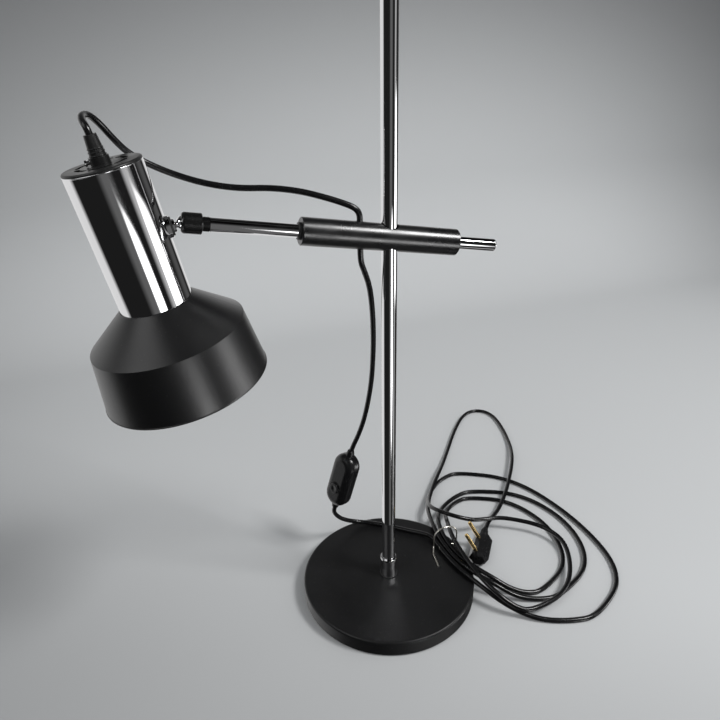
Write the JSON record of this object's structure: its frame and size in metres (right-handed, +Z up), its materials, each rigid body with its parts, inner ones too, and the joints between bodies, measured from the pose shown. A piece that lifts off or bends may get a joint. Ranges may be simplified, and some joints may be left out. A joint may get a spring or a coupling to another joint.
{
  "type": "desk lamp",
  "caption": "Desk lamp on a round foot and pole, with a sliding, turning cross arm, a ball joint, a tubular housing with a flared shade, and a cord with switch and plug.",
  "frame": {"origin": "centre of the underside of the round foot, where it rests on the desk", "axes": "+Z up along the pole, -X towards the lamp head along the arm, the cord's switch hangs on the +Y side"},
  "size_m": [0.4708, 0.3705, 0.544],
  "materials": {
    "foot_lacquer": "satin black lacquer",
    "foot_iron": "raw casting",
    "foot_felt": "felt",
    "plain_steel": "plain turned steel",
    "bright_chrome": "bright chrome plate",
    "bright_washer": "bright plate",
    "black_washer": "black plastic",
    "black_nylon": "matt black nylon",
    "cross_black": "satin black lacquer on aluminium",
    "joint_black": "black lacquer",
    "brass": "plain brass",
    "cap_black": "satin black",
    "grip_black": "matt black",
    "shade_black": "satin black outside, white inside",
    "sleeve_aluminium": "plain",
    "holder_black": "black moulding",
    "holder_ceramic": "glazed ceramic",
    "bulb_white": "opal",
    "switch_black": "black moulding",
    "screw_steel": "plated steel",
    "plug_black": "black moulding",
    "tie_wire": "plated wire",
    "cord_black": "black flexible sheath"
  },
  "bodies": {
    "stand": {"base_cover": "foot_lacquer", "base_weight": "foot_iron", "base_pad": "foot_felt", "foot_bolt": "plain_steel", "pole_insert": "plain_steel", "foot_collar": "bright_chrome", "pole_tube": "bright_chrome", "pole_cap": "bright_chrome", "switch_front": "switch_black", "switch_back": "switch_black", "switch_screws": "screw_steel", "switch_rocker": "switch_black", "plug_body": "plug_black", "plug_pins": "brass", "wire_tie": "tie_wire", "cord_lower": "cord_black", "cord_coil": "cord_black", "cord_tail": "cord_black", "cord_drop_lower": "cord_black"},
    "button": {"switch_button": "switch_black"},
    "sliding_bush": {"pole_bush": "black_nylon", "cord_drop_upper": "cord_black"},
    "cross_arm": {"cross_tube": "cross_black", "cord_sleeve": "black_nylon", "arm_bush": "black_nylon", "arm_rod": "bright_chrome", "socket_body": "plain_steel", "lock_collar": "joint_black", "trim_rings": "bright_chrome", "ball_barrel": "joint_black", "ball_spring": "plain_steel", "cord_inner": "cord_black", "cord_head_lower": "cord_black"},
    "clamp_block": {"clamp_pad": "brass"},
    "clamp_knob": {"clamp_screw": "bright_chrome"},
    "ball_cup": {"pressure_cup": "plain_steel", "cord_head_middle": "cord_black"},
    "ball_neck": {"ball_stud": "bright_chrome", "stud_collar": "bright_chrome", "spring_washer": "plain_steel", "stud_nut": "plain_steel"},
    "lamp_head": {"friction_washer": "black_washer", "wall_washer": "bright_washer", "inner_saddle": "bright_washer", "lamp_housing": "bright_chrome", "top_cap": "cap_black", "nipple": "brass", "grip_collar": "cap_black", "cord_grip": "grip_black", "grip_screw": "bright_chrome", "shade": "shade_black", "shade_sleeve": "sleeve_aluminium", "holder_dome": "holder_black", "holder_body": "holder_black", "holder_shell": "brass", "holder_insert": "holder_ceramic", "bulb_cap": "brass", "bulb_glass": "bulb_white", "cord_lead": "cord_black", "cord_head_upper": "cord_black"}
  },
  "joints": [
    {"name": "button_press", "type": "slide", "parent": "stand", "child": "button", "axis": [0.8801, 0.4355, -0.189], "range_m": [0, 0.0012], "stiffness_N_per_m": 800, "springref_m": -0.0012},
    {"name": "height_slide", "type": "slide", "parent": "stand", "child": "sliding_bush", "axis": [0, 0, 1], "range_m": [-0.18, 0.17], "deforming": ["cord_drop_lower"]},
    {"name": "arm_swivel", "type": "hinge", "parent": "sliding_bush", "child": "cross_arm", "pos_m": [0, 0, 0.3352], "axis": [0, 0, 1], "range_deg": [-25, 100], "deforming": ["cord_drop_upper"]},
    {"name": "clamp_travel", "type": "slide", "parent": "cross_arm", "child": "clamp_block", "axis": [0.9871, 0, -0.1599], "range_m": [0, 0.0015]},
    {"name": "clamp_turn", "type": "hinge", "parent": "clamp_block", "child": "clamp_knob", "pos_m": [0.05923, 0, 0.32561], "axis": [0.9871, 0, -0.1599], "range_deg": [0, 432.1]},
    {"name": "ball_roll", "type": "hinge", "parent": "cross_arm", "child": "ball_cup", "pos_m": [-0.14155, 0, 0.35813], "axis": [0.9871, 0, -0.1599], "range_deg": [-60, 60], "deforming": ["cord_head_lower"]},
    {"name": "ball_tilt", "type": "hinge", "parent": "ball_cup", "child": "ball_neck", "pos_m": [-0.14155, 0, 0.35813], "axis": [0.0073, 0.999, 0.0451], "range_deg": [-13.6, 54.4], "deforming": ["cord_head_middle"]},
    {"name": "head_spin", "type": "hinge", "parent": "ball_neck", "child": "lamp_head", "pos_m": [-0.14155, 0, 0.35813], "axis": [0.981, -0.0159, 0.1935], "range_deg": [-60, 60], "deforming": ["cord_head_upper"]}
  ],
  "couplings": [
    {"joint": "clamp_turn", "follows": "clamp_travel", "rad_per_m": 5026.5}
  ]
}
